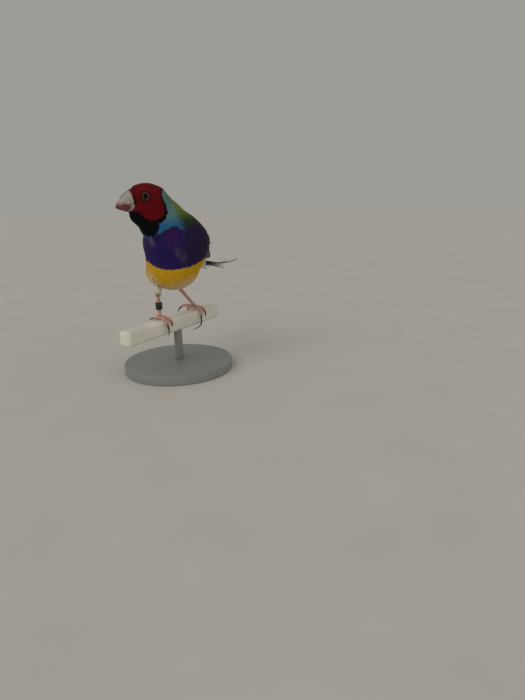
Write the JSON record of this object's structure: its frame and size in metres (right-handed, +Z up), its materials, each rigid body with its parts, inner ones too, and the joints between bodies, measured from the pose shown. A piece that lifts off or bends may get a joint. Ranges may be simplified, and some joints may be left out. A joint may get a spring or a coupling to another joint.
{
  "type": "gouldian finch",
  "caption": "Still life-size model of a perched male gouldian finch with a red mask, on a cut length of perch and a plain display stand.",
  "frame": {"origin": "centre of the stand's flat underside", "axes": "+Z up out of the stand, -Y the way the bird's body faces, +X the bird's left side"},
  "size_m": [0.068, 0.1331, 0.1133],
  "materials": {
    "head_feathers": "matte crimson feathers",
    "bill": "pearly horn, pink toward the tip",
    "eye": "wet, nearly black",
    "neck_feathers": "turquoise feathers with a black bib",
    "breast_feathers": "violet feathers",
    "belly_feathers": "rich yellow feathers",
    "back_feathers": "green feathers",
    "rump_feathers": "pale blue feathers",
    "wing_feathers": "green wing feathers with dark quills",
    "tail_feathers": "black tail feathers",
    "thigh_feathers": "whitish downy feathers",
    "leg_skin": "pink scaled skin",
    "claw": "dark brown horn",
    "leg_ring": "dark enamel, bare",
    "perch_plastic": "off-white moulded plastic",
    "stand": "plain satin grey"
  },
  "bodies": {
    "root": {"head": "head_feathers", "bill_upper": "bill", "bill_lower": "bill", "eye_left": "eye", "eye_right": "eye", "neck": "neck_feathers", "breast": "breast_feathers", "belly": "belly_feathers", "back": "back_feathers", "rump": "rump_feathers", "wing_left": "wing_feathers", "wing_right": "wing_feathers", "tail": "tail_feathers", "thigh_right": "thigh_feathers", "thigh_left": "thigh_feathers", "shank_right": "leg_skin", "shank_left": "leg_skin", "foot_right": "leg_skin", "foot_left": "leg_skin", "claw_right_inner": "claw", "claw_right_middle": "claw", "claw_right_outer": "claw", "claw_right_hind": "claw", "claw_left_inner": "claw", "claw_left_middle": "claw", "claw_left_outer": "claw", "claw_left_hind": "claw", "leg_ring": "leg_ring", "perch": "perch_plastic", "stand_base": "stand", "stand_post": "stand"}
  },
  "joints": []
}
